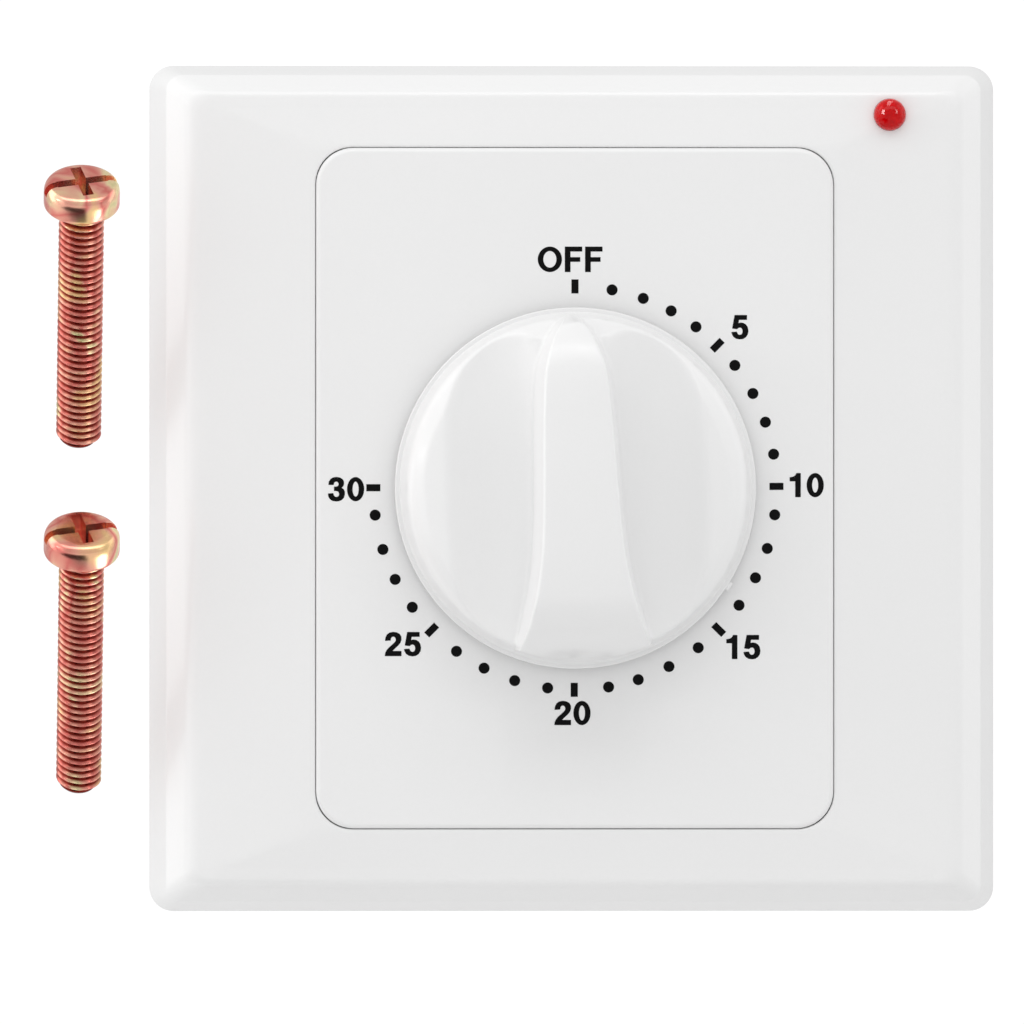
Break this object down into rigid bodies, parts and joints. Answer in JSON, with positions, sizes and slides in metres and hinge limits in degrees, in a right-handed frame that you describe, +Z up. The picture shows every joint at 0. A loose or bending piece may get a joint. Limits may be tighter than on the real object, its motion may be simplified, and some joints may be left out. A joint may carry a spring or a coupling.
{
  "type": "timer light switch",
  "caption": "Square wall plate with a round pointer knob that winds a countdown clockwork switch, with a printed minute dial and a red lamp.",
  "frame": {"origin": "centre between the two fixing slots, on the wall plane at the plate's back", "axes": "+X right, +Y into the wall, +Z up, seen from the room"},
  "size_m": [0.097, 0.0444, 0.086],
  "materials": {
    "white_frame": "glossy white moulded plastic",
    "white_panel": "glossy white moulded plastic",
    "white_knob": "glossy white moulded plastic",
    "black_ink": "black pad print",
    "red_lens": "red tinted clear resin",
    "grey_plastic": "fine matt moulded plastic",
    "plate_brass": "stamped sheet",
    "cam_plastic": "natural acetal",
    "train_plastic": "natural acetal",
    "spring_steel": "blued strip",
    "contact_bronze": "bronze strip",
    "contact_silver": "silver",
    "board_laminate": "phenolic laminate",
    "resistor_paint": "painted",
    "terminal_brass": "machined",
    "steel": "bright zinc plated",
    "yellow_zinc": "yellow passivated zinc"
  },
  "bodies": {
    "base": {"support_plate": "grey_plastic", "dial_panel": "white_panel", "dial_print": "black_ink", "rear_housing": "grey_plastic", "housing_screw_lower_left": "steel", "housing_screw_upper_left": "steel", "housing_screw_lower_right": "steel", "housing_screw_upper_right": "steel", "front_plate": "plate_brass", "back_plate": "plate_brass", "pillar_lower_left": "steel", "pillar_upper_left": "steel", "pillar_lower_right": "steel", "pillar_upper_right": "steel", "movement_screw_lower_left": "steel", "movement_screw_upper_left": "steel", "movement_screw_lower_right": "steel", "movement_screw_upper_right": "steel", "stop_pin": "steel", "spring_post": "steel", "mainspring": "spring_steel", "contact_leaf": "contact_bronze", "contact_bracket": "contact_bronze", "contact_rivet_moving": "contact_silver", "contact_rivet_fixed": "contact_silver", "terminal_left": "terminal_brass", "terminal_middle": "terminal_brass", "terminal_right": "terminal_brass", "terminal_screw_left": "steel", "terminal_screw_middle": "steel", "terminal_screw_right": "steel", "led_body": "red_lens", "led_lead_left": "contact_silver", "led_lead_right": "contact_silver", "led_board": "board_laminate", "led_resistor": "resistor_paint", "fixing_screw_upper": "yellow_zinc", "fixing_screw_lower": "yellow_zinc"},
    "cover": {"front_frame": "white_frame"},
    "drive": {"main_arbor": "steel", "stop_plate": "steel", "great_wheel": "plate_brass", "clutch_washer": "spring_steel", "timing_cam": "cam_plastic"},
    "knob": {"knob": "white_knob"},
    "second": {"second_wheel": "train_plastic", "second_arbor": "steel"},
    "third": {"third_wheel": "train_plastic", "third_arbor": "steel"},
    "fourth": {"fourth_wheel": "train_plastic", "fourth_arbor": "steel"},
    "escape": {"escape_wheel": "train_plastic", "escape_arbor": "steel"},
    "regulator": {"pallet_lever": "cam_plastic", "pallet_arbor": "steel", "inertia_bar": "steel"}
  },
  "joints": [
    {"name": "knob_turn", "type": "hinge", "parent": "base", "child": "drive", "pos_m": [0, 0, 0], "axis": [0, 1, 0], "range_deg": [0, 272.4], "stiffness_Nm_per_rad": 0.008, "springref_deg": -57.3, "deforming": ["mainspring", "contact_leaf"]},
    {"name": "knob_pull", "type": "slide", "parent": "drive", "child": "knob", "axis": [0, -1, 0], "range_m": [0, 0.012]},
    {"name": "frame_pull", "type": "slide", "parent": "base", "child": "cover", "axis": [0, -1, 0], "range_m": [0, 0.03]},
    {"name": "second_spin", "type": "hinge", "parent": "base", "child": "second", "pos_m": [0.01184, 0, -0.00431], "axis": [0, 1, 0], "continuous": true},
    {"name": "third_spin", "type": "hinge", "parent": "base", "child": "third", "pos_m": [0.01099, 0, 0.00616], "axis": [0, 1, 0], "continuous": true},
    {"name": "fourth_spin", "type": "hinge", "parent": "base", "child": "fourth", "pos_m": [0.00251, 0, 0.01235], "axis": [0, 1, 0], "continuous": true},
    {"name": "escape_spin", "type": "hinge", "parent": "base", "child": "escape", "pos_m": [-0.00613, 0, 0.01101], "axis": [0, 1, 0], "continuous": true},
    {"name": "regulator_swing", "type": "hinge", "parent": "base", "child": "regulator", "pos_m": [-0.01024, 0, 0.00734], "axis": [0, 1, 0], "range_deg": [-5, 5]}
  ],
  "couplings": [
    {"joint": "second_spin", "follows": "knob_turn", "ratio": -5},
    {"joint": "third_spin", "follows": "knob_turn", "ratio": 25},
    {"joint": "fourth_spin", "follows": "knob_turn", "ratio": -125},
    {"joint": "escape_spin", "follows": "knob_turn", "ratio": 500}
  ]
}
